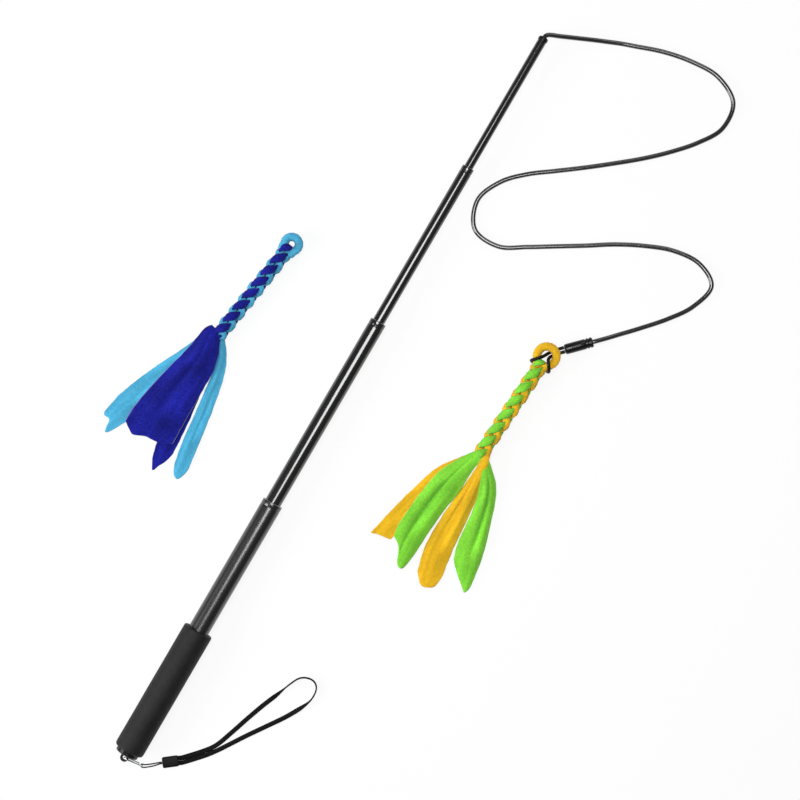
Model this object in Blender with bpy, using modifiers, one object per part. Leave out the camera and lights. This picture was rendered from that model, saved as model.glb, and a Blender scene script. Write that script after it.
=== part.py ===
"""Telescopic training rod for dogs, laid out flat with its cord and two braided fleece toys.

The rod runs along +X from the butt to the tip and rests on its foam grip at z = 0. Lengths below are
in millimetres from the butt face (X), the rod's axis (Y) and the floor (Z).
"""

import math
from collections import namedtuple

import bmesh
import bpy
import numpy as np
from mathutils import Vector

MM = 0.001
GAP = 0.3

# Middle of the object's footprint on the floor, which becomes the origin.
FOOTPRINT_MIDDLE = (426.1, -10.6, 0.0)

GRIP_START = 4.8
GRIP_END = 148.8
GRIP_RADIUS = 16.0
GRIP_BORE = 11.3
AXIS_HEIGHT = GRIP_RADIUS

Tube = namedtuple("Tube", "tail mouth radius wall neck")
HANDLE_TUBE = Tube(tail=4.8, mouth=302.0, radius=11.0, wall=1.0, neck=9.05)
SECTION_2 = Tube(tail=262.0, mouth=519.0, radius=8.75, wall=0.9, neck=6.8)
SECTION_3 = Tube(tail=480.0, mouth=714.0, radius=6.5, wall=0.8, neck=5.05)
SECTION_4 = Tube(tail=680.0, mouth=855.0, radius=4.75, wall=0.8, neck=3.95)
NECK_LENGTH = 5.0
LIP_ROUNDING = 0.8
BUSHING_FLANGE = 4.0
BUSHING_SPIGOT = 10.0

CAP_RADIUS = 12.25
CAP_THICKNESS = 4.5
CAP_SPIGOT = 10.3
LUG_REACH = 3.5
LUG_RADIUS = 4.5
LUG_THICKNESS = 3.0
LUG_HOLE_RADIUS = 2.0
LUG_HOLE = (-LUG_REACH, 0.0, AXIS_HEIGHT)

CORD_RADIUS = 2.5
TIP_BORE = 2.8
TIP_HEAD_RADIUS = 5.2
TIP_END = 860.2
ANCHOR_FACE = 844.0
CORD_BEND_END = 96
CORD_BEND_STEP = 6
CORD_STEP = 14

SLEEVE_RADIUS = 5.5
SLEEVE_HEIGHT = 5.6
SLEEVE_REAR = (613.3, -203.1)
SLEEVE_FRONT = (591.9, -181.9)
NOOSE_RADIUS = 1.8
NOOSE_SPREAD = 2.2

BAIL_WIRE = 0.8
STRING_RADIUS = 0.7
KEEPER_MIDDLE = (13.8, -43.0, 3.4)
KEEPER_SIZE = (16.0, 11.5, 6.0)
KEEPER_ANGLE = math.radians(-52)
BAND_HALF_WIDTH = 2.15
BAND_HALF_THICKNESS = 0.8
BAND_ON_EDGE_FROM = 118.0
BAND_ON_EDGE_BY = 145.0

BRAID_RADIUS = 5.0
BRAID_WEAVE = 2.8
STRAND_HALF_THICKNESS = 1.9
STRAND_HALF_ANGLE = math.radians(34)
STRAND_SECTION = ((-1, 0), (-0.4, 1), (0.4, 1), (1, 0), (0.4, -1), (-0.4, -1))
STATIONS_PER_PITCH = 12
FLEECE = 2.0

Toy = namedtuple("Toy", "neck tail eye_reach eye_radius eye_tube leg_spread leg_end pitch roll")
PLAY_TOY = Toy(
    neck=(565.0, -168.0, 14.0),
    tail=(453.0, -160.8, 10.0),
    eye_reach=11.0,
    eye_radius=11.5,
    eye_tube=3.5,
    leg_spread=4.5,
    leg_end=3.5,
    pitch=33.8,
    roll=math.radians(18),
)
SPARE_TOY = Toy(
    neck=(533.0, 120.2, 10.3),
    tail=(424.5, 136.6, 10.0),
    eye_reach=10.6,
    eye_radius=8.2,
    eye_tube=4.0,
    leg_spread=4.8,
    leg_end=1.6,
    pitch=31.0,
    roll=math.radians(18),
)

Look = namedtuple("Look", "name colour roughness metallic")
FOAM = Look("foam", (0.018, 0.018, 0.018), 0.95, 0.0)
GLOSS_TUBE = Look("painted_tube", (0.010, 0.010, 0.011), 0.2, 0.4)
BLACK_PLASTIC = Look("black_plastic", (0.015, 0.015, 0.015), 0.45, 0.0)
STEEL = Look("bright_steel", (0.75, 0.76, 0.78), 0.15, 1.0)
BLACK_CORD = Look("black_cord", (0.012, 0.012, 0.013), 0.4, 0.0)
BLACK_WEBBING = Look("black_webbing", (0.016, 0.016, 0.017), 0.8, 0.0)
LIME = Look("lime_fleece", (0.21, 0.75, 0.07), 0.95, 0.0)
ORANGE = Look("orange_fleece", (0.91, 0.46, 0.03), 0.95, 0.0)
DARK_BLUE = Look("dark_blue_fleece", (0.026, 0.021, 0.35), 0.95, 0.0)
LIGHT_BLUE = Look("light_blue_fleece", (0.07, 0.43, 0.75), 0.95, 0.0)

PARTS = "dog_training_rod"
CUTTERS = "cutters"


def clear_scene():
    for obj in list(bpy.data.objects):
        bpy.data.objects.remove(obj)
    for name in (PARTS, CUTTERS):
        collection = bpy.data.collections.new(name)
        bpy.context.scene.collection.children.link(collection)


def material_for(look):
    material = bpy.data.materials.get(look.name)
    if material:
        return material
    material = bpy.data.materials.new(look.name)
    material.use_nodes = True
    shader = material.node_tree.nodes["Principled BSDF"]
    shader.inputs["Base Color"].default_value = (*look.colour, 1)
    shader.inputs["Roughness"].default_value = look.roughness
    shader.inputs["Metallic"].default_value = look.metallic
    return material


def add_body(name, place, parent=None):
    """An empty at a joint, which carries the pieces that move together."""
    body = bpy.data.objects.new(name, None)
    body.empty_display_size = 0.02
    bpy.data.collections[PARTS].objects.link(body)
    body["place"] = place
    start = parent["place"] if parent else FOOTPRINT_MIDDLE
    body.location = (Vector(place) - Vector(start)) * MM
    body.parent = parent
    return body


def add_piece(name, data, look, body, origin=None):
    piece = bpy.data.objects.new(name, data)
    data.materials.append(material_for(look))
    bpy.data.collections[PARTS].objects.link(piece)
    piece.parent = body
    piece.location = (Vector(origin or body["place"]) - Vector(body["place"])) * MM
    return piece


def add_helper(name, mesh, body, origin):
    helper = bpy.data.objects.new(name, mesh)
    bpy.data.collections[CUTTERS].objects.link(helper)
    helper.parent = body
    helper.location = (Vector(origin) - Vector(body["place"])) * MM
    helper.hide_render = True
    helper.display_type = "WIRE"
    return helper


def combine(piece, helper, operation):
    boolean = piece.modifiers.new(helper.name, "BOOLEAN")
    boolean.object = helper
    boolean.operation = operation
    boolean.solver = "EXACT"


def turned(name, profile, look, body, steps, origin):
    """A piece of revolution about its local X axis. The profile starts down the outer side from its +X end."""
    mesh = bpy.data.meshes.new(name)
    points = [((x - origin[0]) * MM, radius * MM, 0) for x, radius in profile]
    edges = [(i, i + 1) for i in range(len(points) - 1)]
    if profile[0][1] > 0:
        edges.append((len(points) - 1, 0))
    mesh.from_pydata(points, edges, [])
    piece = add_piece(name, mesh, look, body, origin)
    screw = piece.modifiers.new("turn", "SCREW")
    screw.axis = "X"
    screw.steps = steps
    screw.render_steps = steps
    screw.use_merge_vertices = True
    screw.merge_threshold = 0.00001
    screw.use_normal_calculate = False
    return piece


def smooth_route(route, count, closed=False):
    """Evenly spaced points along a smooth curve through the points of a route."""
    route = np.array(route, float)
    if closed:
        ring = np.vstack([route[-1], route, route[:2]])
    else:
        ring = np.vstack([2 * route[0] - route[1], route, 2 * route[-1] - route[-2]])
    t = np.linspace(0, 1, 16, endpoint=False)[:, None]
    spans = []
    for a, b, c, d in zip(ring, ring[1:], ring[2:], ring[3:]):
        slope = (c - a) * t
        bend = (2 * a - 5 * b + 4 * c - d) * t**2
        twist = (3 * b - a - 3 * c + d) * t**3
        spans.append(b + (slope + bend + twist) / 2)
    fine = np.vstack([*spans, ring[-2]])
    run = np.concatenate([[0], np.cumsum(np.linalg.norm(np.diff(fine, axis=0), axis=1))])
    stops = np.linspace(0, run[-1], count + closed)[:count]
    return np.stack([np.interp(stops, run, fine[:, k]) for k in range(fine.shape[1])], axis=1)


def round_cord(name, points, radius, look, body, closed=False):
    curve = bpy.data.curves.new(name, "CURVE")
    curve.dimensions = "3D"
    curve.bevel_depth = radius * MM
    curve.bevel_resolution = 2 if radius > 1 else 1
    curve.use_fill_caps = not closed
    spline = curve.splines.new("POLY")
    spline.points.add(len(points) - 1)
    for knot, place in zip(spline.points, points):
        knot.co = (*((Vector(place) - Vector(body["place"])) * MM), 1)
    spline.use_cyclic_u = closed
    return add_piece(name, curve, look, body)


def lofted(name, rings, look, body):
    """A closed solid through rings of points, with a flat face at each end."""
    rings = np.array(rings)
    sides = rings.shape[1]
    vertices = (rings.reshape(-1, 3) - np.array(body["place"])) * MM
    faces = [list(range(sides))[::-1], list(range((len(rings) - 1) * sides, len(rings) * sides))]
    for row in range(len(rings) - 1):
        for side in range(sides):
            near = row * sides + side
            turn = row * sides + (side + 1) % sides
            faces.append([near, turn, turn + sides, near + sides])
    mesh = bpy.data.meshes.new(name)
    mesh.from_pydata([tuple(vertex) for vertex in vertices], [], faces)
    solid = bmesh.new()
    solid.from_mesh(mesh)
    bmesh.ops.recalc_face_normals(solid, faces=solid.faces)
    solid.to_mesh(mesh)
    solid.free()
    return add_piece(name, mesh, look, body)


def telescopic_tube(name, tube, body, steps):
    """A thin tube whose mouth is rolled in round the next section."""
    bore = tube.radius - tube.wall
    profile = [
        (tube.mouth, tube.radius - LIP_ROUNDING),
        (tube.mouth - LIP_ROUNDING, tube.radius),
        (tube.tail, tube.radius),
        (tube.tail, bore),
    ]
    if tube.neck < bore:
        profile += [
            (tube.mouth - NECK_LENGTH - 1, bore),
            (tube.mouth - NECK_LENGTH, tube.neck),
            (tube.mouth - 0.5, tube.neck),
            (tube.mouth, tube.neck + 0.45),
        ]
    else:
        profile.append((tube.mouth, bore))
    origin = (tube.tail, 0, AXIS_HEIGHT)
    return turned(name, profile, GLOSS_TUBE, body, steps, origin)


def guide_bushing(name, tube, outer, body, steps):
    """Guide ring in the tail of a section, running inside the tube around it."""
    flange = outer.radius - outer.wall - GAP
    spigot = tube.radius - tube.wall - GAP
    bore = spigot - 1.6
    rear = tube.tail - GAP - BUSHING_FLANGE
    shoulder = tube.tail - GAP
    profile = [
        (tube.tail + BUSHING_SPIGOT, spigot),
        (shoulder, spigot),
        (shoulder, flange),
        (rear, flange),
        (rear, bore),
        (tube.tail + BUSHING_SPIGOT, bore),
    ]
    turned(name, profile, BLACK_PLASTIC, body, steps, (rear, 0, AXIS_HEIGHT))


def foam_grip(body):
    profile = [
        (GRIP_END, GRIP_RADIUS - 3.2),
        (GRIP_END - 0.8, GRIP_RADIUS - 1),
        (GRIP_END - 3, GRIP_RADIUS),
        (GRIP_START + 4, GRIP_RADIUS),
        (GRIP_START + 1.2, GRIP_RADIUS - 0.9),
        (GRIP_START, GRIP_RADIUS - 3),
        (GRIP_START, GRIP_BORE),
        (GRIP_END, GRIP_BORE),
    ]
    turned("grip_sleeve", profile, FOAM, body, 48, (GRIP_START, 0, AXIS_HEIGHT))


def butt_cap(body):
    """End plug of the handle, with a drilled lug for the strap's bail."""
    spigot = HANDLE_TUBE.radius - HANDLE_TUBE.wall - GAP
    profile = [
        (CAP_THICKNESS + CAP_SPIGOT, 0),
        (CAP_THICKNESS + CAP_SPIGOT, spigot - 0.6),
        (CAP_THICKNESS + CAP_SPIGOT - 0.6, spigot),
        (CAP_THICKNESS, spigot),
        (CAP_THICKNESS, CAP_RADIUS),
        (0.8, CAP_RADIUS),
        (0, CAP_RADIUS - 0.8),
        (0, 0),
    ]
    origin = (0, 0, AXIS_HEIGHT)
    cap = turned("butt_cap", profile, BLACK_PLASTIC, body, 40, origin)
    outline = [(1.5, -LUG_RADIUS), (1.5, LUG_RADIUS)]
    for step in range(13):
        angle = math.pi * (0.5 + step / 12)
        outline.append((LUG_HOLE[0] + LUG_RADIUS * math.cos(angle), LUG_RADIUS * math.sin(angle)))
    half = LUG_THICKNESS / 2
    lug = prism("butt_lug", outline, -half, half, body, origin)
    combine(cap, lug, "UNION")
    rim = []
    for step in range(20):
        angle = math.tau * step / 20
        rim.append((LUG_HOLE_RADIUS * math.cos(angle), LUG_HOLE_RADIUS * math.sin(angle)))
    hole = prism("butt_lug_hole", rim, -3 * half, 3 * half, body, LUG_HOLE)
    combine(cap, hole, "DIFFERENCE")


def prism(name, outline, low, high, body, origin):
    mesh = bpy.data.meshes.new(name)
    solid = bmesh.new()
    base = [solid.verts.new((x * MM, y * MM, low * MM)) for x, y in outline]
    face = solid.faces.new(base)
    raised = bmesh.ops.extrude_face_region(solid, geom=[face])
    top = [item for item in raised["geom"] if isinstance(item, bmesh.types.BMVert)]
    bmesh.ops.translate(solid, verts=top, vec=(0, 0, (high - low) * MM))
    bmesh.ops.recalc_face_normals(solid, faces=solid.faces)
    solid.to_mesh(mesh)
    solid.free()
    return add_helper(name, mesh, body, origin)


def tip_fitting(body):
    """Plug in the rod's tip, with the cord through it and the cord's knot behind it."""
    spigot = SECTION_4.radius - SECTION_4.wall - GAP
    head = SECTION_4.mouth + GAP
    inner = ANCHOR_FACE + 2.5
    plug = [
        (TIP_END, TIP_HEAD_RADIUS - 1.8),
        (TIP_END - 0.6, TIP_HEAD_RADIUS - 0.6),
        (TIP_END - 1.6, TIP_HEAD_RADIUS),
        (head + 0.9, TIP_HEAD_RADIUS),
        (head, TIP_HEAD_RADIUS - 0.3),
        (head, spigot),
        (inner, spigot),
        (inner, TIP_BORE),
        (TIP_END, TIP_BORE),
    ]
    turned("tip_plug", plug, BLACK_PLASTIC, body, 28, (inner, 0, AXIS_HEIGHT))
    knot = [
        (ANCHOR_FACE, 0),
        (ANCHOR_FACE, 2.8),
        (ANCHOR_FACE - 1, 3.55),
        (ANCHOR_FACE - 6.5, 3.55),
        (ANCHOR_FACE - 7.5, 2.8),
        (ANCHOR_FACE - 7.5, 0),
    ]
    turned("cord_anchor", knot, BLACK_CORD, body, 16, (ANCHOR_FACE, 0, AXIS_HEIGHT))


def bungee_cord(body):
    """The long cord, from its knot in the tip down to the floor and round to its sleeve."""
    axis = AXIS_HEIGHT
    floor = CORD_RADIUS + 0.05
    away = unit(np.subtract(SLEEVE_REAR, SLEEVE_FRONT))
    end = np.array(SLEEVE_REAR) + GAP * away
    route = [
        (ANCHOR_FACE + GAP, 0, axis),
        (853, 0, axis),
        (861.5, 0, axis),
        (867.5, -2.6, 15.7),
        (872, -9, 14.6),
        (876, -18, 12.8),
        (880, -30, 9.8),
        (886, -44, 6.2),
        (891, -58, 3.6),
        (897, -72, 2.6),
        (902, -86, floor),
        (912, -115, floor),
        (918, -146, floor),
        (918, -177, floor),
        (903, -204, floor),
        (874, -208, floor),
        (849, -194, floor),
        (826, -174, floor),
        (805, -152, floor),
        (785, -128, floor),
        (766, -104, floor),
        (748, -80, floor),
        (730, -56, floor),
        (709, -36, floor),
        (681, -25, floor),
        (653, -38, floor),
        (650, -68, floor),
        (665, -95, floor),
        (681, -121, floor),
        (697, -147, floor),
        (713, -172, floor),
        (727, -199, floor),
        (738, -228, floor),
        (740, -258, floor),
        (726, -281, floor),
        (698, -275, floor),
        (674, -259, floor),
        (651, -239, floor),
        (634, -223, 3.0),
        (625, -214.6, 4.5),
        (*(end + 5 * away), SLEEVE_HEIGHT),
        (*end, SLEEVE_HEIGHT),
    ]
    fine = smooth_route(route, 961)
    bend = fine[:CORD_BEND_END:CORD_BEND_STEP]
    lying = fine[CORD_BEND_END : -CORD_STEP // 2 : CORD_STEP]
    points = np.vstack([bend, lying, fine[-1]])
    round_cord("bungee_cord", points, CORD_RADIUS, BLACK_CORD, body)


def unit(vector):
    vector = np.array(vector, float)
    return vector / np.linalg.norm(vector)


def cord_sleeve(body):
    """Moulded sleeve that joins the cord's end to the noose."""
    rear = np.array(SLEEVE_REAR)
    span = np.array(SLEEVE_FRONT) - rear
    length = float(np.linalg.norm(span))
    full = SLEEVE_RADIUS
    groove = SLEEVE_RADIUS - 0.8
    profile = [
        (length, 0),
        (length, full - 0.9),
        (length - 0.8, full - 0.1),
        (8, full),
        (7.6, groove),
        (6.6, groove),
        (6.2, full),
        (4.6, full),
        (4.2, groove),
        (3.2, groove),
        (2.8, full),
        (0.8, full - 0.1),
        (0, full - 0.9),
        (0, 0),
    ]
    place = (*SLEEVE_REAR, SLEEVE_HEIGHT)
    sleeve = turned("cord_sleeve", profile, BLACK_PLASTIC, body, 24, (0, 0, 0))
    sleeve.location = (Vector(place) - Vector(body["place"])) * MM
    sleeve.rotation_euler = (0, 0, math.atan2(span[1], span[0]))


def wrist_strap(body):
    """Bail through the butt's lug, string, keeper and the flat band of the strap's loop."""
    x = LUG_HOLE[0]
    bail = [
        (x, 0, 14.4),
        (x, 0, 17.6),
        (x, 0, 19.3),
        (x, -1.1, 20.6),
        (x, -3.2, 20.9),
        (x, -9.5, 17),
        (x, -16.8, 11.9),
        (x, -19.9, 8.8),
        (x, -20.2, 6.9),
        (x, -19.6, 4.9),
        (x, -17.2, 3.9),
        (x, -13.5, 4.9),
        (x, -7.5, 8.4),
        (x, -3.2, 10.7),
        (x, -0.9, 11.3),
        (x, 0, 12.6),
    ]
    round_cord("strap_bail", smooth_route(bail, 32, True), BAIL_WIRE, STEEL, body, True)
    along = np.array([math.cos(KEEPER_ANGLE), math.sin(KEEPER_ANGLE)])
    aside = np.array([-along[1], along[0]])
    reach = KEEPER_SIZE[0] / 2 + 1.2 * GAP
    near = np.array(KEEPER_MIDDLE[:2]) - reach * along
    far = np.array(KEEPER_MIDDLE[:2]) + reach * along
    string = [
        (*(near + 1.3 * aside), 3.6),
        (*(near + 1.3 * aside - 3 * along), 3.9),
        (3.2, -27.2, 5.6),
        (-0.9, -21.6, 6.8),
        (-1.8, -19.3, 7),
        (-3.5, -18.1, 7.1),
        (-5.2, -19.3, 7),
        (-5.4, -21.6, 6.8),
        (-2.6, -25.6, 6),
        (1.6, -30.8, 5),
        (*(near - 1.3 * aside - 3 * along), 3.9),
        (*(near - 1.3 * aside), 3.6),
    ]
    round_cord("strap_string", smooth_route(string, 34), STRING_RADIUS, BLACK_CORD, body)
    strap_keeper(body)
    limb = BAND_HALF_WIDTH + 0.25
    start = far + limb * aside
    end = far - limb * aside
    loop = [
        tuple(start),
        tuple(start + 6 * along),
        (40.6, -66.3),
        (53, -75),
        (71, -81.5),
        (93, -89.2),
        (112, -96.8),
        (129, -103.6),
        (147, -110.4),
        (156.5, -115.5),
        (161, -122.5),
        (161.4, -130.5),
        (156.5, -136.2),
        (146.6, -137.7),
        (136, -135),
        (116, -124.6),
        (97, -111),
        (78.5, -98),
        (60, -86.5),
        (49, -79.9),
        (37.2, -70.5),
        tuple(end + 6 * along),
        tuple(end),
    ]
    middle = smooth_route(loop, 64)
    heading = np.gradient(middle, axis=0)
    heading /= np.linalg.norm(heading, axis=1)[:, None]
    rings = []
    for place, ahead in zip(middle, heading):
        share = np.clip((place[0] - BAND_ON_EDGE_FROM) / (BAND_ON_EDGE_BY - BAND_ON_EDGE_FROM), 0, 1)
        turn = math.pi / 2 * share * share * (3 - 2 * share)
        lift = BAND_HALF_THICKNESS * math.cos(turn) + BAND_HALF_WIDTH * math.sin(turn) + GAP
        off_keeper = np.linalg.norm(place - far) / 18
        lift += max(0, 1 - off_keeper) ** 2 * 2
        side = np.array([-ahead[1], ahead[0], 0])
        up = np.array([0, 0, 1])
        across = (side * math.cos(turn) + up * math.sin(turn)) * BAND_HALF_WIDTH
        through = (up * math.cos(turn) - side * math.sin(turn)) * BAND_HALF_THICKNESS
        centre = np.array([place[0], place[1], lift])
        corners = [centre + across - through, centre + across + through]
        corners += [centre - across + through, centre - across - through]
        rings.append(corners)
    lofted("strap_loop", rings, BLACK_WEBBING, body)


def strap_keeper(body):
    mesh = bpy.data.meshes.new("strap_keeper")
    solid = bmesh.new()
    bmesh.ops.create_cube(solid, size=1)
    size = [side * MM for side in KEEPER_SIZE]
    bmesh.ops.scale(solid, vec=size, verts=solid.verts)
    solid.to_mesh(mesh)
    solid.free()
    keeper = add_piece("strap_keeper", mesh, BLACK_PLASTIC, body, KEEPER_MIDDLE)
    keeper.rotation_euler = (0, 0, KEEPER_ANGLE)
    bevel = keeper.modifiers.new("soft_edges", "BEVEL")
    bevel.width = 1.4 * MM
    bevel.segments = 2


def toy_frame(toy):
    """The toy's neck, and unit vectors to its eye, to its left side and up."""
    neck = np.array(toy.neck)
    to_eye = unit(neck - np.array(toy.tail))
    left = unit(np.cross([0, 0, 1], to_eye))
    up = np.cross(to_eye, left)
    return neck, to_eye, left, up


def in_toy(toy, x, y, z=0.0):
    neck, to_eye, left, up = toy_frame(toy)
    return neck + x * to_eye + y * left + z * up


def toy_eye(name, toy, look, body):
    """The fleece eye at the toy's head, whose two legs run into the braid."""
    leg = [(-toy.leg_end, toy.leg_spread), (-toy.leg_end + 2.2, toy.leg_spread)]
    leg.append((1.6, toy.leg_spread + 1.2))
    route = list(leg)
    for degrees in (122, 98, 72, 48, 24, 0, -24, -48, -72, -98, -122):
        angle = math.radians(degrees)
        x = toy.eye_reach + toy.eye_radius * math.cos(angle)
        route.append((x, toy.eye_radius * math.sin(angle)))
    route += [(x, -y) for x, y in reversed(leg)]
    points = smooth_route([in_toy(toy, x, y) for x, y in route], 30)
    round_cord(name, points, toy.eye_tube, look, body)


def braid_strand(name, toy, direction, phase, look, body):
    """One strand of a four-strand round braid. Strands of the two directions pass over each other by turns."""
    neck, to_eye, left, up = toy_frame(toy)
    start = neck - (toy.leg_end + 0.5) * to_eye
    length = np.linalg.norm(np.array(toy.tail) - start)
    rings = []
    stations = np.arange(0, length - 1, toy.pitch / STATIONS_PER_PITCH)
    for run in (*stations, length):
        middle = direction * (math.tau * run / toy.pitch - math.pi / 2) + phase
        ring = []
        for share, thickness in STRAND_SECTION:
            angle = middle + share * STRAND_HALF_ANGLE
            weave = math.cos(2 * angle)
            weave = math.copysign(abs(weave) ** 0.3, weave)
            radius = BRAID_RADIUS + direction * BRAID_WEAVE * weave
            radius += thickness * STRAND_HALF_THICKNESS
            turn = angle + toy.roll
            ring.append(start - run * to_eye + radius * (up * math.cos(turn) + left * math.sin(turn)))
        rings.append(ring)
    lofted(name, rings, look, body)


def streamer(name, stations, cut, look, body):
    """A loose fleece tail. Each station is its middle x and y, its width, and its left, middle and right heights."""
    rows = smooth_route(stations, 10)
    headings = np.gradient(rows[:, :2], axis=0)
    shares = np.linspace(1, -1, 5)
    vertices = []
    for row, (station, heading) in enumerate(zip(rows, headings)):
        x, y, width, left, middle, right = station
        ahead = unit(heading)
        aside = np.array([ahead[1], -ahead[0]])
        for column, share in enumerate(shares):
            height = middle + share * (left - right) / 2 + share**2 * ((left + right) / 2 - middle)
            reach = cut[column] if row == len(rows) - 1 else 0
            place = np.array([x, y]) + share * width / 2 * aside + reach * ahead
            vertices.append((*place, height))
    vertices = (np.array(vertices) - np.array(body["place"])) * MM
    faces = []
    for row in range(len(rows) - 1):
        for column in range(4):
            first = row * 5 + column
            faces.append([first, first + 5, first + 6, first + 1])
    mesh = bpy.data.meshes.new(name)
    mesh.from_pydata([tuple(vertex) for vertex in vertices], [], faces)
    piece = add_piece(name, mesh, look, body)
    solidify = piece.modifiers.new("fleece", "SOLIDIFY")
    solidify.thickness = FLEECE * MM
    solidify.offset = 0
    solidify.use_even_offset = True


def cord_end_loop(body):
    """The noose: under the eye, up through it, round the toy's neck and back, both ends in the sleeve."""
    toy = PLAY_TOY
    ahead = unit(np.subtract(SLEEVE_FRONT, SLEEVE_REAR))
    face = np.array(SLEEVE_FRONT) + GAP * ahead
    feed = [
        (face, (-ahead[1], ahead[0]), SLEEVE_HEIGHT),
        (face + 3 * ahead, (-ahead[1], ahead[0]), SLEEVE_HEIGHT - 0.2),
        ((586.9, -177.1), (-0.71, -0.71), 5.3),
        ((583.3, -174.2), (-0.6, -0.8), 6.4),
        ((579.9, -171.6), (-0.45, -0.89), 10.2),
        ((577.4, -170.0), (-0.3, -0.95), 15.4),
    ]
    limb = [
        (8.6, 3.2, 19.6),
        (4.2, 6.4, 21.2),
        (0.4, 9.5, 18.9),
        (-1.4, 10.7, 14.6),
        (-1.7, 9.4, 10.2),
        (-1.7, 5.4, 7.9),
    ]
    neck_z = toy.neck[2]
    strands = {}
    for side in (1, -1):
        strand = []
        for place, aside, height in feed:
            spread = -side * NOOSE_SPREAD * unit(aside)
            strand.append((*(np.array(place) + spread), height))
        for x, y, height in limb:
            place = in_toy(toy, x, side * y)
            strand.append((place[0], place[1], height))
        strands[side] = strand
    under = in_toy(toy, -1.7, 0)
    route = strands[1] + [(under[0], under[1], neck_z - 6.4)] + strands[-1][::-1]
    round_cord("cord_end_loop", smooth_route(route, 60), NOOSE_RADIUS, BLACK_CORD, body)


def play_toy(body):
    toy = PLAY_TOY
    toy_eye("play_toy_eye", toy, ORANGE, body)
    braid_strand("play_toy_strand_lime_1", toy, 1, 0, LIME, body)
    braid_strand("play_toy_strand_lime_2", toy, 1, math.pi, LIME, body)
    braid_strand("play_toy_strand_orange_1", toy, -1, 0, ORANGE, body)
    braid_strand("play_toy_strand_orange_2", toy, -1, math.pi, ORANGE, body)
    orange_left = [
        (451.2, -157.5, 9, 6.0, 6.2, 6.0),
        (436, -149, 13, 3.6, 4.0, 3.4),
        (415, -138, 20, 1.4, 2.2, 1.4),
        (388, -130, 22, 1.4, 1.8, 1.4),
        (356, -121, 22, 1.4, 1.9, 1.4),
        (328, -114, 20, 1.6, 1.4, 1.6),
    ]
    streamer("play_toy_streamer_orange_left", orange_left, (6, 2, 0, -2, -4), ORANGE, body)
    lime_left = [
        (451.2, -159, 12, 12.2, 12.6, 12.2),
        (436, -153, 19, 9.0, 11.0, 9.6),
        (412, -147, 30, 5.4, 8.4, 3.4),
        (380, -142, 31, 4.6, 7.8, 2.2),
        (345, -139.5, 31, 4.6, 6.6, 1.8),
        (321, -141, 27, 4.4, 4.6, 1.8),
    ]
    streamer("play_toy_streamer_lime_left", lime_left, (-13, -5, 4, 8, 13), LIME, body)
    orange_centre = [
        (449.8, -161.8, 9, 9.2, 9.4, 9.2),
        (436, -168.5, 10, 4.6, 5.0, 4.4),
        (412, -171.4, 15.5, 2.0, 5.2, 2.0),
        (378, -171.7, 23.6, 1.4, 5.0, 1.4),
        (346, -173.2, 28, 1.4, 3.8, 1.4),
        (318, -179, 22, 1.4, 2.4, 1.6),
    ]
    streamer("play_toy_streamer_orange_centre", orange_centre, (0, 8, 12, 10, 4), ORANGE, body)
    lime_right = [
        (451.2, -163, 12, 15.2, 15.6, 15.2),
        (440, -175, 14, 11.4, 12.4, 9.6),
        (425, -186, 18, 5.6, 8.8, 3.2),
        (400, -194.2, 21.6, 2.2, 6.6, 1.4),
        (360, -202.4, 29, 1.4, 6.2, 1.4),
        (328, -211, 21.7, 1.4, 2.6, 1.6),
    ]
    streamer("play_toy_streamer_lime_right", lime_right, (0, 5, 10, 7, 0), LIME, body)


def spare_toy(body):
    toy = SPARE_TOY
    toy_eye("spare_toy_eye", toy, LIGHT_BLUE, body)
    braid_strand("spare_toy_strand_dark_1", toy, 1, 0, DARK_BLUE, body)
    braid_strand("spare_toy_strand_dark_2", toy, 1, math.pi, DARK_BLUE, body)
    braid_strand("spare_toy_strand_light_1", toy, -1, 0, LIGHT_BLUE, body)
    braid_strand("spare_toy_strand_light_2", toy, -1, math.pi, LIGHT_BLUE, body)
    dark_front = [
        (422.3, 138.5, 13, 14.6, 15.4, 14.6),
        (410, 139.5, 26, 12.6, 14.8, 11.4),
        (388, 141, 37, 7.6, 12.0, 6.6),
        (355, 145, 46, 4.6, 8.2, 4.6),
        (320, 148.5, 54, 4.4, 6.4, 4.4),
        (297, 149, 56, 4.4, 5.0, 4.6),
    ]
    streamer("spare_toy_streamer_dark_front", dark_front, (0, 9, 3, 2, -4), DARK_BLUE, body)
    light_left = [
        (422.3, 139.5, 9, 11.8, 12.0, 11.6),
        (408, 147.8, 13, 8.8, 9.4, 8.6),
        (388, 155.8, 16, 3.4, 4.6, 2.8),
        (355, 168.5, 23, 1.4, 2.2, 1.4),
        (318, 181, 28, 1.4, 1.8, 1.4),
        (291, 190, 22, 1.4, 1.4, 1.4),
    ]
    streamer("spare_toy_streamer_light_left", light_left, (0, 4, 2, 12, 10), LIGHT_BLUE, body)
    dark_back = [
        (422.3, 137, 9, 8.8, 9.0, 8.6),
        (405, 136, 12, 5.6, 5.8, 5.4),
        (380, 134.5, 17, 2.2, 3.0, 2.2),
        (345, 131.5, 22, 1.4, 2.0, 1.4),
        (310, 128.5, 23, 1.4, 1.8, 1.4),
        (276, 123.5, 18, 1.4, 1.4, 1.4),
    ]
    streamer("spare_toy_streamer_dark_back", dark_back, (0, 5, 9, 8, 4), DARK_BLUE, body)
    light_right = [
        (422.3, 134.5, 9, 5.8, 6.0, 5.6),
        (408, 124.5, 10, 2.2, 2.6, 1.8),
        (388, 117.2, 13, 1.5, 2.4, 1.5),
        (352, 111, 15.5, 1.4, 2.6, 1.4),
        (312, 106, 17, 1.4, 2.2, 1.4),
        (283, 101.5, 16, 1.4, 1.4, 1.4),
    ]
    streamer("spare_toy_streamer_light_right", light_right, (0, 7, 11, 8, 2), LIGHT_BLUE, body)


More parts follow.
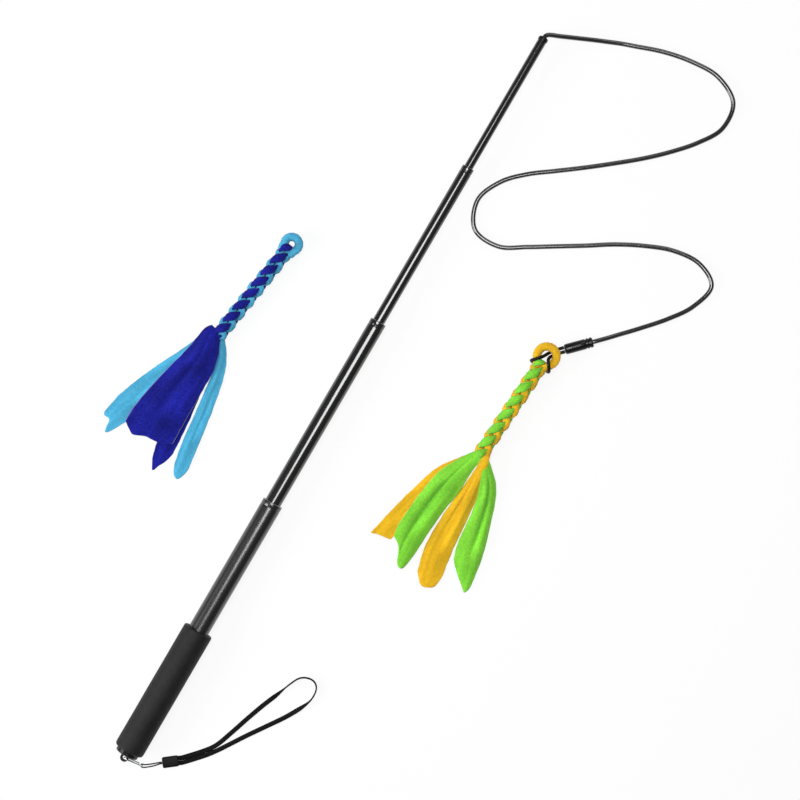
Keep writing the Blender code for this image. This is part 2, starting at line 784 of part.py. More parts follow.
def build():
    clear_scene()
    axis = AXIS_HEIGHT
    handle = add_body("handle", (0, 0, axis))
    section_2 = add_body("section_2", (SECTION_2.tail, 0, axis), handle)
    section_3 = add_body("section_3", (SECTION_3.tail, 0, axis), section_2)
    section_4 = add_body("section_4", (SECTION_4.tail, 0, axis), section_3)
    strap = add_body("wrist_strap", LUG_HOLE, handle)
    toy = add_body("play_toy", (*SLEEVE_FRONT, SLEEVE_HEIGHT), section_4)
    spare = add_body("spare_toy", SPARE_TOY.neck, handle)
    foam_grip(handle)
    telescopic_tube("handle_tube", HANDLE_TUBE, handle, 40)
    butt_cap(handle)
    telescopic_tube("section_2_tube", SECTION_2, section_2, 36)
    guide_bushing("section_2_bushing", SECTION_2, HANDLE_TUBE, section_2, 32)
    telescopic_tube("section_3_tube", SECTION_3, section_3, 32)
    guide_bushing("section_3_bushing", SECTION_3, SECTION_2, section_3, 28)
    telescopic_tube("section_4_tube", SECTION_4, section_4, 28)
    guide_bushing("section_4_bushing", SECTION_4, SECTION_3, section_4, 24)
    tip_fitting(section_4)
    bungee_cord(section_4)
    cord_sleeve(section_4)
    wrist_strap(strap)
    cord_end_loop(toy)
    play_toy(toy)
    spare_toy(spare)


build()
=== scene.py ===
import math

import bpy
import numpy as np
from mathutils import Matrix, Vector, noise


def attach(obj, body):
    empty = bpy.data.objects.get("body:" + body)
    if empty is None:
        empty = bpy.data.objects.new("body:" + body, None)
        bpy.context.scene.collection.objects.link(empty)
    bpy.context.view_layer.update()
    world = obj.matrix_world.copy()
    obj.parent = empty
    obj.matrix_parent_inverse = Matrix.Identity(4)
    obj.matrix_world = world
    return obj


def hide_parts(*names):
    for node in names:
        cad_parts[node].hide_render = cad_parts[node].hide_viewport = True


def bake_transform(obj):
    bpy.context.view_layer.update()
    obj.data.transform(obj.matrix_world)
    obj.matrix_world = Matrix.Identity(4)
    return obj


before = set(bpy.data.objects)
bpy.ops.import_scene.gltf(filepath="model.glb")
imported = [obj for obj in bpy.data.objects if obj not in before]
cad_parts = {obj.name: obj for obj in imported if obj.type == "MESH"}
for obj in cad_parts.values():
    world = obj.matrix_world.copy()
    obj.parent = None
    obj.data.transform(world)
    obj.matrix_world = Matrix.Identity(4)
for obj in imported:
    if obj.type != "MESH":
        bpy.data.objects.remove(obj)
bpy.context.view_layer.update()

# The view: the rod lies flat on a white table and is seen from straight above through a long
# lens, turned so that the rod runs from the lower left to the upper right.
BUTT_FACE_X = 426.1
ROD_AXIS_Y = -10.6


def at(x, y, z):
    """A point given in millimetres from the butt face, the rod's axis and the table."""
    return Vector(((x - BUTT_FACE_X) / 1000, (y - ROD_AXIS_Y) / 1000, z / 1000))


ROD_RIGHT = 0.50365
ROD_UP = 0.86391
VIEW_MIDDLE = (460.1, -60.1)
SEEN_HEIGHT = 8
SEEN_WIDTH = 0.832
LENS = 100
SENSOR_WIDTH = 36
camera_data = bpy.data.cameras.new("camera")
camera_data.lens = LENS
camera = bpy.data.objects.new("camera", camera_data)
bpy.context.scene.collection.objects.link(camera)
camera.location = at(*VIEW_MIDDLE, SEEN_HEIGHT + SEEN_WIDTH * LENS / SENSOR_WIDTH * 1000)
camera.rotation_euler = (0, 0, -math.atan2(ROD_UP, ROD_RIGHT))
bpy.context.scene.camera = camera

# Bungee cord: rubber strands in a tight, slightly shiny black braided cover, 5 mm thick. It is
# knotted inside the rod's tip, comes out through the plug and lies on the table in three bends.
CORD_RADIUS = 2.5
SLEEVE_REAR = np.array([613.3, -203.1])
SLEEVE_FRONT = np.array([591.9, -181.9])
SLEEVE_HEIGHT = 5.6
sleeve_ahead = (SLEEVE_FRONT - SLEEVE_REAR) / np.linalg.norm(SLEEVE_FRONT - SLEEVE_REAR)
cord_end = SLEEVE_REAR - 0.3 * sleeve_ahead
FLOOR_CORD = 2.55
CORD_ROUTE = [
    (844.3, 0, 16),
    (853, 0, 16),
    (860.4, 0, 16),
    (863.8, -1.6, 15.9),
    (866.4, -6, 15.2),
    (869, -12, 14),
    (873.6, -21.5, 11.8),
    (879.2, -33, 9),
    (886, -47, 5.6),
    (891, -58, 3.6),
    (897, -72, 2.6),
    (902, -86, FLOOR_CORD),
    (912, -115, FLOOR_CORD),
    (918, -146, FLOOR_CORD),
    (918, -177, FLOOR_CORD),
    (903, -204, FLOOR_CORD),
    (874, -208, FLOOR_CORD),
    (849, -194, FLOOR_CORD),
    (826, -174, FLOOR_CORD),
    (805, -152, FLOOR_CORD),
    (785, -128, FLOOR_CORD),
    (766, -104, FLOOR_CORD),
    (748, -80, FLOOR_CORD),
    (730, -56, FLOOR_CORD),
    (709, -36, FLOOR_CORD),
    (681, -25, FLOOR_CORD),
    (653, -38, FLOOR_CORD),
    (650, -68, FLOOR_CORD),
    (665, -95, FLOOR_CORD),
    (681, -121, FLOOR_CORD),
    (697, -147, FLOOR_CORD),
    (713, -172, FLOOR_CORD),
    (727, -199, FLOOR_CORD),
    (738, -228, FLOOR_CORD),
    (740, -258, FLOOR_CORD),
    (726, -281, FLOOR_CORD),
    (698, -275, FLOOR_CORD),
    (674, -259, FLOOR_CORD),
    (651, -239, FLOOR_CORD),
    (634, -223, 3.0),
    (625, -214.6, 4.5),
    (*(cord_end - 5 * sleeve_ahead), SLEEVE_HEIGHT),
    (*cord_end, SLEEVE_HEIGHT),
]


def distances(points):
    """How far along a line each of its points lies."""
    steps = np.linalg.norm(np.diff(points, axis=0), axis=1)
    return np.concatenate([[0], np.cumsum(steps)])


def smooth_line(route, step, closed=False):
    """Evenly spaced points on a smooth curve through a route, all in millimetres."""
    route = np.array(route, float)
    if closed:
        ring = np.vstack([route[-1], route, route[:2]])
    else:
        ring = np.vstack([2 * route[0] - route[1], route, 2 * route[-1] - route[-2]])
    t = np.linspace(0, 1, 24, endpoint=False)[:, None]
    spans = []
    for a, b, c, d in zip(ring, ring[1:], ring[2:], ring[3:]):
        curve = (c - a) * t + (2 * a - 5 * b + 4 * c - d) * t**2 + (3 * b - a - 3 * c + d) * t**3
        spans.append(b + curve / 2)
    fine = np.vstack([*spans, ring[-2]])
    run = distances(fine)
    count = max(8, round(run[-1] / step))
    stops = np.linspace(0, run[-1], count + 1)
    if closed:
        stops = stops[:-1]
    return np.stack([np.interp(stops, run, fine[:, k]) for k in range(fine.shape[1])], axis=1)


def rings_along(points, section, closed=False):
    """A cross-section carried along a line without twisting, as rings of points."""
    points = np.array(points, float)
    if closed:
        ahead = np.roll(points, -1, axis=0) - np.roll(points, 1, axis=0)
    else:
        ahead = np.gradient(points, axis=0)
    ahead /= np.linalg.norm(ahead, axis=1)[:, None]
    side = np.cross(ahead[0], [0, 0, 1.0])
    if np.linalg.norm(side) < 0.2:
        side = np.cross(ahead[0], [0, 1.0, 0])
    rings = []
    for place, forward in zip(points, ahead):
        side = side - forward * np.dot(side, forward)
        side /= np.linalg.norm(side)
        up = np.cross(side, forward)
        rings.append([place + a * side + b * up for a, b in section])
    return np.array(rings)


def shell(name, rings, closed=False):
    """A skin over rings of points, capped at both ends or joined end to end.

    Its UV map is in millimetres, along the piece and around it.
    """
    rings = np.array(rings)
    rows, sides = rings.shape[:2]
    last = rows if closed else rows - 1
    faces = []
    uvs = []
    run = distances(rings.mean(axis=1))
    run = np.append(run, run[-1] + run[1])
    girth = np.linalg.norm(rings[0] - np.roll(rings[0], -1, axis=0), axis=1).sum() / sides
    for row in range(last):
        ahead = (row + 1) % rows
        for side in range(sides):
            turn = (side + 1) % sides
            corners = [(row, side), (row, turn), (ahead, turn), (ahead, side)]
            faces.append([ring * sides + corner for ring, corner in corners])
            low, high = side * girth, (side + 1) * girth
            uvs += [(run[row], low), (run[row], high), (run[row + 1], high), (run[row + 1], low)]
    if not closed:
        for cap in (list(range(sides))[::-1], list(range((rows - 1) * sides, rows * sides))):
            faces.append(cap)
            uvs += [(0, 0)] * sides
    mesh = bpy.data.meshes.new(name)
    mesh.from_pydata([tuple(at(*point)) for point in rings.reshape(-1, 3)], [], faces)
    layer = mesh.uv_layers.new(name="along")
    layer.data.foreach_set("uv", np.array(uvs, np.float32).ravel())
    mesh.polygons.foreach_set("use_smooth", [True] * len(mesh.polygons))
    mesh.set_sharp_from_angle(angle=math.radians(50))
    piece = bpy.data.objects.new(name, mesh)
    bpy.context.scene.collection.objects.link(piece)
    return piece


def circle(radius, sides):
    angles = [math.tau * k / sides for k in range(sides)]
    return [(radius * math.cos(angle), radius * math.sin(angle)) for angle in angles]


def finish_named(name, colour, roughness, **constants):
    """A Principled finish. A number that is the same all over is set on the shader itself."""
    material = bpy.data.materials.new(name)
    material.use_nodes = True
    shader = material.node_tree.nodes["Principled BSDF"]
    shader.inputs["Base Color"].default_value = (*colour, 1)
    shader.inputs["Roughness"].default_value = roughness
    for socket, value in constants.items():
        shader.inputs[socket.replace("_", " ")].default_value = value
    return material


def new_node(material, kind, settings=None, **values):
    node = material.node_tree.nodes.new(kind)
    for key, value in (settings or {}).items():
        setattr(node, key, value)
    for socket, value in values.items():
        node.inputs[socket.replace("_", " ")].default_value = value
    return node


def wire(material, source, output, target, socket):
    material.node_tree.links.new(source.outputs[output], target.inputs[socket])


def mottle(material, scale, low, high, socket="Roughness", stretch=(1, 1, 1), detail=3.0):
    """Slow changes of roughness or colour over a surface, from a noise in the piece's own space."""
    shader = material.node_tree.nodes["Principled BSDF"]
    space = new_node(material, "ShaderNodeTexCoord")
    spread = new_node(material, "ShaderNodeMapping", Scale=stretch)
    clouds = new_node(material, "ShaderNodeTexNoise", Scale=scale, Detail=detail)
    ramp = new_node(material, "ShaderNodeValToRGB")
    for stop, position, tone in zip(ramp.color_ramp.elements, (0.3, 0.7), (low, high)):
        stop.position = position
        stop.color = (*tone, 1) if socket == "Base Color" else (tone, tone, tone, 1)
    wire(material, space, "Object", spread, "Vector")
    wire(material, spread, "Vector", clouds, "Vector")
    wire(material, clouds, "Fac", ramp, "Fac")
    wire(material, ramp, "Color", shader, socket)


def relief(material, height_node, height_output, strength, distance):
    """Fine relief on the surface. A second relief lies on top of the first."""
    shader = material.node_tree.nodes["Principled BSDF"]
    bump = new_node(material, "ShaderNodeBump", Strength=strength, Distance=distance)
    wire(material, height_node, height_output, bump, "Height")
    if shader.inputs["Normal"].links:
        below = shader.inputs["Normal"].links[0].from_node
        wire(material, below, "Normal", bump, "Normal")
    wire(material, bump, "Normal", shader, "Normal")


def braided_cover(material, pitch, strength):
    """Plaits of a braided cover, slanting two ways across each other, on the millimetre UV map."""
    lean = math.radians(42)
    plait_depth = 0.0003
    profile = {"wave_profile": "SIN"}
    wavy = {"Scale": 1 / pitch, "Distortion": 0.2, "Detail": 0.0}
    uv = new_node(material, "ShaderNodeUVMap", {"uv_map": "along"})
    plaits = []
    for turn in (lean, -lean):
        turned = new_node(material, "ShaderNodeMapping", Rotation=(0, 0, turn))
        wave = new_node(material, "ShaderNodeTexWave", profile, **wavy)
        wire(material, uv, "UV", turned, "Vector")
        wire(material, turned, "Vector", wave, "Vector")
        plaits.append(wave)
    over = new_node(material, "ShaderNodeMath", {"operation": "MULTIPLY"})
    wire(material, plaits[0], "Fac", over, 0)
    wire(material, plaits[1], "Fac", over, 1)
    relief(material, over, "Value", strength, plait_depth)


def finish_piece(piece, material, slot, *replaced):
    """Gives a piece its finish and lets it stand for its solids."""
    piece.data.materials.clear()
    piece.data.materials.append(material)
    if replaced:
        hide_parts(*replaced)
    return piece


def dress(piece, material, body, slot, *replaced):
    """Finishes a piece that moves with one body."""
    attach(piece, body)
    return finish_piece(piece, material, slot, *replaced)


cord_cover = finish_named(
    "bungee_cover",
    (0.004, 0.004, 0.0045),
    roughness=0.4,
    Specular_IOR_Level=0.15,
    Coat_Weight=1.0,
    Coat_Roughness=0.11,
    Coat_IOR=1.9,
)
mottle(cord_cover, scale=260, low=0.34, high=0.46)
braided_cover(cord_cover, pitch=5.2, strength=0.1)
cord_line = smooth_line(CORD_ROUTE, step=2.2)
bungee = shell("bungee_cord_cover", rings_along(cord_line, circle(CORD_RADIUS, sides=16)))
dress(bungee, cord_cover, "section_4", "black_cord", "bungee_cord")

# Cord sleeve: a moulded black sleeve crimped over the bungee's end, with two grip grooves by the
# cord and a rounded nose where the two limbs of the noose come out.
SLEEVE_LENGTH = float(np.linalg.norm(SLEEVE_FRONT - SLEEVE_REAR))
SLEEVE_PROFILE = [
    (0, 2.7),
    (0, 4.3),
    (0.25, 4.9),
    (0.8, 5.35),
    (2.6, 5.5),
    (3.0, 5.3),
    (3.3, 4.75),
    (4.1, 4.7),
    (4.5, 5.3),
    (4.9, 5.5),
    (6.0, 5.5),
    (6.4, 5.3),
    (6.7, 4.75),
    (7.5, 4.7),
    (7.9, 5.3),
    (8.3, 5.5),
    (14.0, 5.45),
    (22.0, 5.5),
    (SLEEVE_LENGTH - 1.6, 5.45),
    (SLEEVE_LENGTH - 0.7, 5.1),
    (SLEEVE_LENGTH - 0.15, 4.4),
    (SLEEVE_LENGTH, 3.6),
]


def turned_rings(profile, start, ahead, sides):
    """Rings of a piece turned on a lathe: each pair is the way along its axis and a radius."""
    ahead = np.array(ahead, float)
    ahead /= np.linalg.norm(ahead)
    side = np.cross([0, 0, 1.0], ahead)
    side /= np.linalg.norm(side)
    up = np.cross(ahead, side)
    rings = []
    for along, radius in profile:
        middle = np.array(start, float) + along * ahead
        rings.append([middle + a * side + b * up for a, b in circle(radius, sides)])
    return rings


moulded = finish_named(
    "moulded_black",
    (0.004, 0.004, 0.0045),
    roughness=0.26,
    Specular_IOR_Level=0.4,
)
mottle(moulded, scale=900, low=0.2, high=0.32)
grain = new_node(moulded, "ShaderNodeTexNoise", Scale=2600, Detail=2.0)
relief(moulded, grain, "Fac", strength=0.12, distance=0.0002)
sleeve_start = (*SLEEVE_REAR, SLEEVE_HEIGHT)
sleeve_rings = turned_rings(SLEEVE_PROFILE, sleeve_start, (*sleeve_ahead, 0), sides=40)
sleeve = shell("cord_sleeve_moulding", sleeve_rings)
dress(sleeve, moulded, "section_4", "black_plastic", "cord_sleeve")

# Cord end loop: a thinner black cord doubled back into the sleeve. It passes under the toy's eye,
# comes up through it, and its two limbs go round the toy's neck. It bends just past the sleeve.
NOOSE_RADIUS = 1.8
NOOSE_UNDER = (-1.7, 0)
NOOSE_UNDER_HEIGHT = 7.6
NOOSE_SPREAD = 2.2
TOY_NECK = np.array([565.0, -168.0, 14.0])
TOY_TAIL = np.array([453.0, -160.8, 10.0])


def toy_axes(neck, tail):
    """A toy's own directions: along its braid to the eye, to the left, and up."""
    to_eye = (neck - tail) / np.linalg.norm(neck - tail)
    left = np.cross([0, 0, 1.0], to_eye)
    left /= np.linalg.norm(left)
    return to_eye, left, np.cross(to_eye, left)


def on_toy(neck, tail, x, y):
    """A point x ahead of a toy's neck and y to its left."""
    to_eye, left, _ = toy_axes(neck, tail)
    return neck + x * to_eye + y * left


noose_start = SLEEVE_FRONT + 0.3 * sleeve_ahead
across = (-sleeve_ahead[1], sleeve_ahead[0])
NOOSE_FEED = [
    (noose_start, across, SLEEVE_HEIGHT),
    (noose_start + 3 * sleeve_ahead, across, SLEEVE_HEIGHT - 0.2),
    ((586.9, -177.1), (-0.71, -0.71), 5.3),
    ((583.3, -174.2), (-0.6, -0.8), 6.4),
    ((579.9, -171.6), (-0.45, -0.89), 10.2),
    ((577.4, -170.0), (-0.3, -0.95), 15.4),
]
NOOSE_LIMB = [
    (8.6, 3.2, 19.6),
    (4.2, 6.4, 21.2),
    (0.4, 9.5, 18.9),
    (-1.4, 10.7, 14.6),
    (-1.7, 9.4, 10.2),
    (-1.7, 5.4, 7.9),
]
limbs = {}
for hand in (1, -1):
    limb = []
    for place, aside, height in NOOSE_FEED:
        spread = -hand * NOOSE_SPREAD * np.array(aside) / np.linalg.norm(aside)
        limb.append((*(np.array(place) + spread), height))
    for x, y, height in NOOSE_LIMB:
        place = on_toy(TOY_NECK, TOY_TAIL, x, hand * y)
        limb.append((place[0], place[1], height))
    limbs[hand] = limb
under = on_toy(TOY_NECK, TOY_TAIL, *NOOSE_UNDER)
noose_route = limbs[1] + [(under[0], under[1], NOOSE_UNDER_HEIGHT)] + limbs[-1][::-1]
noose_line = smooth_line(noose_route, step=1.2)
noose_cover = finish_named(
    "noose_cover",
    (0.003, 0.003, 0.0035),
    roughness=0.42,
    Specular_IOR_Level=0.2,
)
mottle(noose_cover, scale=320, low=0.36, high=0.5)
braided_cover(noose_cover, pitch=3.6, strength=0.6)
noose = shell("cord_end_loop_cover", rings_along(noose_line, circle(NOOSE_RADIUS, sides=14)))
finish_piece(noose, noose_cover, "black_cord", "cord_end_loop")
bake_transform(noose)

# Telescopic tubes: four thin drawn tubes in black lacquer, satin on the handle's and gloss on the
# others. Each mouth but the last is rolled in to a neck round the next tube, past a shallow groove,
# and its rounded lip is rubbed bright.
AXIS_HEIGHT = 16.0
WALL_START = 1.2
WALL_MARGIN = 1.0
WALL_RINGS = 8
TAIL_EDGE = 0.15
GROOVE = [(6.6, 0), (6.2, 0.22), (5.4, 0.22), (5.0, 0)]
NECK_LENGTH = 5
NECK_EDGE = 0.3
LIP_ROUNDING = 0.8
LIP_STEPS = 6
LIP_WEAR = 0.75
LIP_SLOPE = 0.45


def black_lacquer(name, gloss):
    """Black lacquer over a drawn tube, with the slight waviness of a sprayed coat."""
    lacquer = finish_named(
        name,
        (0.0035, 0.0035, 0.004),
        roughness=0.42,
        Specular_IOR_Level=0.15,
        Coat_Weight=0.95,
        Coat_Roughness=gloss,
        Coat_IOR=1.75,
    )
    mottle(lacquer, scale=60, low=0.36, high=0.48, stretch=(0.15, 1, 1))
    peel = new_node(lacquer, "ShaderNodeTexNoise", Scale=700, Detail=1.0)
    relief(lacquer, peel, "Fac", strength=0.012, distance=0.0003)
    return lacquer


satin_lacquer = black_lacquer("satin_black_lacquer", 0.26)
gloss_lacquer = black_lacquer("gloss_black_lacquer", 0.13)
# Each tube's body, finish, tail, mouth, outer radius, bore, neck and number of sides.
TUBES = {
    "handle_tube": ("handle", satin_lacquer, 4.8, 302.0, 11.0, 10.0, 9.05, 96),
    "section_2_tube": ("section_2", gloss_lacquer, 262.0, 519.0, 8.75, 7.85, 6.8, 80),
    "section_3_tube": ("section_3", gloss_lacquer, 480.0, 704.0, 6.5, 5.7, 5.05, 64),
    "section_4_tube": ("section_4", gloss_lacquer, 680.0, 855.0, 4.75, 3.95, 3.95, 56),
}


def tube_skin(tail, mouth, radius, bore, neck):
    """Outer and inner wall of a tube as one closed run of along-and-radius pairs.

    Even rings along the plain wall keep its highlight straight.
    """
    necked = neck < bore
    wall_end = mouth - WALL_MARGIN - (GROOVE[0][0] if necked else LIP_ROUNDING)
    run = [(tail, bore), (tail, radius - TAIL_EDGE), (tail + TAIL_EDGE, radius)]
    run += [(along, radius) for along in np.linspace(tail + WALL_START, wall_end, WALL_RINGS)]
    if necked:
        run += [(mouth - back, radius - depth) for back, depth in GROOVE]
    for step in range(LIP_STEPS + 1):
        angle = math.pi / 2 * step / LIP_STEPS
        along = mouth - LIP_ROUNDING + LIP_ROUNDING * math.sin(angle)
        run.append((along, radius - LIP_ROUNDING + LIP_ROUNDING * math.cos(angle)))
    if necked:
        run += [(mouth, neck + NECK_EDGE), (mouth - NECK_EDGE, neck)]
        run += [(mouth - NECK_LENGTH, neck), (mouth - NECK_LENGTH - 1, bore)]
    else:
        run += [(mouth, bore)]
    return run


def tube_piece(name, run, sides):
    """A tube turned about the rod's axis, closed through its own bore."""
    rings = turned_rings(run, (0, 0, AXIS_HEIGHT), (1, 0, 0), sides)
    return shell(name, rings, closed=True)


worn_lip = finish_named("rubbed_lip", (0.42, 0.42, 0.43), roughness=0.28, Metallic=1.0)
mottle(worn_lip, scale=1200, low=0.2, high=0.4)
for node, (body, lacquer, tail, mouth, radius, bore, neck, sides) in TUBES.items():
    piece = tube_piece(node + "_lacquered", tube_skin(tail, mouth, radius, bore, neck), sides)
    dress(piece, lacquer, body, "painted_tube", node)
    piece.data.materials.append(worn_lip)
    lip_start = at(mouth - LIP_WEAR, 0, 0).x
    for face in piece.data.polygons:
        if neck < bore and face.center.x > lip_start and abs(face.normal.x) > LIP_SLOPE:
            face.material_index = 1

# Grip sleeve: soft closed-cell foam tube, matt near-black, stretched over the rear of the handle
# tube. Its cut ends are slightly rounded and its skin is finely pitted.
GRIP_RUN = [
    (4.8, 11.3),
    (4.8, 13.2),
    (4.9, 14.4),
    (5.3, 15.1),
    (6.1, 15.6),
    (7.4, 15.9),
    (9.5, 16.0),
    (40.0, 15.95),
    (76.0, 16.0),
    (112.0, 15.95),
    (144.8, 16.0),
    (147.0, 15.95),
    (148.1, 15.6),
    (148.65, 15.0),
    (148.8, 14.0),
    (148.8, 11.3),
]
foam = finish_named("grip_foam", (0.006, 0.006, 0.006), roughness=0.6, Specular_IOR_Level=0.3)
mottle(foam, scale=90, low=(0.004, 0.004, 0.004), high=(0.008, 0.008, 0.008), socket="Base Color")
pits = new_node(foam, "ShaderNodeTexVoronoi", Scale=1300)
relief(foam, pits, "Distance", strength=0.3, distance=0.0003)
swell = new_node(foam, "ShaderNodeTexNoise", Scale=160, Detail=3.0)
relief(foam, swell, "Fac", strength=0.2, distance=0.0005)
grip = tube_piece("grip_sleeve_foam", GRIP_RUN, sides=128)
dress(grip, foam, "handle", "foam", "grip_sleeve")

# Plugs and guides: black moulded parts. The butt cap closes the handle and carries the lug, the
# tip plug lets the cord out and holds back its knot, and a guide bushing sits in the tail of each
# sliding section.


def finish_solid(node_name, material):
    """A solid that is shown in its own shape gets smooth shading and its finish."""
    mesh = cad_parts[node_name].data
    mesh.materials.clear()
    mesh.materials.append(material)
    mesh.polygons.foreach_set("use_smooth", [True] * len(mesh.polygons))
    mesh.set_sharp_from_angle(angle=math.radians(35))


for plug in ("butt_cap", "tip_plug", "section_2_bushing", "section_3_bushing", "section_4_bushing"):
    finish_solid(plug, moulded)
finish_solid("cord_anchor", cord_cover)

# Strap bail: a bright steel wire loop that hangs through the hole of the butt's lug and swings
# in it. The string of the wrist strap is hitched to its far end.
LUG_X = -3.5
BAIL_RADIUS = 0.8
BAIL_ROUTE = [
    (LUG_X, 0, 14.4),
    (LUG_X, 0, 17.6),
    (LUG_X, 0, 19.3),
    (LUG_X, -1.1, 20.6),
    (LUG_X, -3.2, 20.9),
    (LUG_X, -9.5, 17),
    (LUG_X, -16.8, 11.9),
    (LUG_X, -19.9, 8.8),
    (LUG_X, -20.2, 6.9),
    (LUG_X, -19.6, 4.9),
    (LUG_X, -17.2, 3.9),
    (LUG_X, -13.5, 4.9),
    (LUG_X, -7.5, 8.4),
    (LUG_X, -3.2, 10.7),
    (LUG_X, -0.9, 11.3),
    (LUG_X, 0, 12.6),
]
steel = finish_named("bright_wire", (0.78, 0.79, 0.81), roughness=0.16, Metallic=1.0)
mottle(steel, scale=1500, low=0.1, high=0.26)
bail_line = smooth_line(BAIL_ROUTE, step=0.8, closed=True)
bail_rings = rings_along(bail_line, circle(BAIL_RADIUS, sides=14), closed=True)
bail = shell("strap_bail_wire", bail_rings, closed=True)
dress(bail, steel, "wrist_strap", "bright_steel", "strap_bail")

# Strap string: a thin braided black cord that is looped round the bail, its two ends held in
# the keeper.
KEEPER_MIDDLE = np.array([13.8, -43.0])
KEEPER_HEIGHT = 3.4
KEEPER_TURN = math.radians(-52)
keeper_along = np.array([math.cos(KEEPER_TURN), math.sin(KEEPER_TURN)])
keeper_aside = np.array([-keeper_along[1], keeper_along[0]])
# The string and the band come out this far from the keeper's middle.
KEEPER_REACH = 8.36
string_end = KEEPER_MIDDLE - KEEPER_REACH * keeper_along
STRING_RADIUS = 0.7
STRING_END_HEIGHT = 3.6
string_offset = 0.75 * keeper_aside
STRING_ROUTE = [
    (*(string_end + string_offset), STRING_END_HEIGHT),
    (*(string_end + string_offset - 3 * keeper_along), 3.9),
    (2.5, -27.5, 5.6),
    (-1.3, -22.0, 6.8),
    (-2.1, -19.5, 7),
    (-3.5, -18.3, 7.1),
    (-4.9, -19.5, 7),
    (-4.8, -21.6, 6.8),
    (-1.9, -26.0, 6),
    (2.2, -30.8, 5),
    (*(string_end - string_offset - 3 * keeper_along), 3.9),
    (*(string_end - string_offset), STRING_END_HEIGHT),
]
string_line = smooth_line(STRING_ROUTE, step=0.7)
string_cover = finish_named(
    "string_cover",
    (0.004, 0.004, 0.0045),
    roughness=0.6,
    Specular_IOR_Level=0.12,
)
mottle(string_cover, scale=700, low=0.5, high=0.7)
braided_cover(string_cover, pitch=1.6, strength=0.7)
string = shell("strap_string_cord", rings_along(string_line, circle(STRING_RADIUS, sides=10)))
dress(string, string_cover, "wrist_strap", "black_cord", "strap_string")

# Strap keeper: a small soft-edged moulded sleeve that clamps both ends of the string on one side
# and both ends of the flat band on the other.
KEEPER_RUN = [
    (-8.0, 0.80),
    (-7.85, 0.88),
    (-7.3, 0.96),
    (-6.2, 1.0),
    (6.6, 1.0),
    (7.7, 0.98),
    (8.2, 0.95),
    (8.4, 0.90),
]
KEEPER_HALF_WIDTH = 5.75
KEEPER_HALF_HEIGHT = 3.0


def soft_section(half_wide, half_high, wide_power, high_power, sides):
    """A flattened cross-section with soft corners. The smaller the powers, the squarer it is."""
    section = []
    for angle in (math.tau * k / sides for k in range(sides)):
        wide = math.copysign(abs(math.cos(angle)) ** wide_power, math.cos(angle))
        high = math.copysign(abs(math.sin(angle)) ** high_power, math.sin(angle))
        section.append((wide * half_wide, high * half_high))
    return section


keeper_section = soft_section(
    KEEPER_HALF_WIDTH,
    KEEPER_HALF_HEIGHT,
    wide_power=0.55,
    high_power=0.55,
    sides=40,
)
keeper_rings = []
for along, share in KEEPER_RUN:
    ring = []
    for wide, high in keeper_section:
        flat = KEEPER_MIDDLE + along * keeper_along + wide * share * keeper_aside
        ring.append((flat[0], flat[1], KEEPER_HEIGHT + high * share))
    keeper_rings.append(ring)
keeper = shell("strap_keeper_moulding", keeper_rings)
keeper_rubber = finish_named(
    "keeper_rubber",
    (0.004, 0.004, 0.0045),
    roughness=0.5,
    Specular_IOR_Level=0.15,
)
mottle(keeper_rubber, scale=800, low=0.42, high=0.58)
pores = new_node(keeper_rubber, "ShaderNodeTexNoise", Scale=2200, Detail=2.0)
relief(keeper_rubber, pores, "Fac", strength=0.2, distance=0.0002)
dress(keeper, keeper_rubber, "wrist_strap", "black_plastic", "strap_keeper")

# Strap loop: one flat woven nylon band, 5 mm wide. Its two limbs lie side by side by the
# keeper, spread apart, and stand on edge where the band turns round at the far end.
BAND_HALF_WIDTH = 2.5
BAND_HALF_THICKNESS = 0.8
BAND_GAP = 0.3
FLAT_UNTIL = 118
ON_EDGE_FROM = 145
RISE_LENGTH = 18
RISE = 2
band_start = KEEPER_MIDDLE + KEEPER_REACH * keeper_along
limb_offset = (BAND_HALF_WIDTH + 0.03) * keeper_aside
BAND_ROUTE = [
    tuple(band_start + limb_offset),
    tuple(band_start + limb_offset + 6 * keeper_along),
    (40.08, -66.93),
    (52.6, -75.9),
    (70.2, -82.5),
    (92.6, -89.9),
    (112, -96.8),
    (129, -103.6),
    (147, -110.4),
    (156.5, -115.5),
    (161, -122.5),
    (161.4, -130.5),
    (156.5, -136.2),
    (146.6, -137.7),
    (136, -135),
    (116, -124.6),
    (96.6, -111.6),
    (77.9, -98.8),
    (60.3, -87.4),
    (48.9, -79.95),
    (36.92, -70.83),
    tuple(band_start - limb_offset + 6 * keeper_along),
    tuple(band_start - limb_offset),
]
band_line = smooth_line(BAND_ROUTE, step=1.6)
band_heading = np.gradient(band_line, axis=0)
band_heading /= np.linalg.norm(band_heading, axis=1)[:, None]
band_section = soft_section(
    BAND_HALF_WIDTH,
    BAND_HALF_THICKNESS,
    wide_power=0.4,
    high_power=0.7,
    sides=16,
)
band_rings = []
for place, heading in zip(band_line, band_heading):
    share = np.clip((place[0] - FLAT_UNTIL) / (ON_EDGE_FROM - FLAT_UNTIL), 0, 1)
    turn = math.pi / 2 * share * share * (3 - 2 * share)
    lift = BAND_HALF_THICKNESS * math.cos(turn) + BAND_HALF_WIDTH * math.sin(turn) + BAND_GAP
    lift += max(0, 1 - np.linalg.norm(place - band_start) / RISE_LENGTH) ** 2 * RISE
    side = np.array([-heading[1], heading[0], 0])
    up = np.array([0, 0, 1.0])
    wide = side * math.cos(turn) + up * math.sin(turn)
    thick = up * math.cos(turn) - side * math.sin(turn)
    middle = np.array([place[0], place[1], lift])
    band_rings.append([middle + a * wide + b * thick for a, b in band_section])
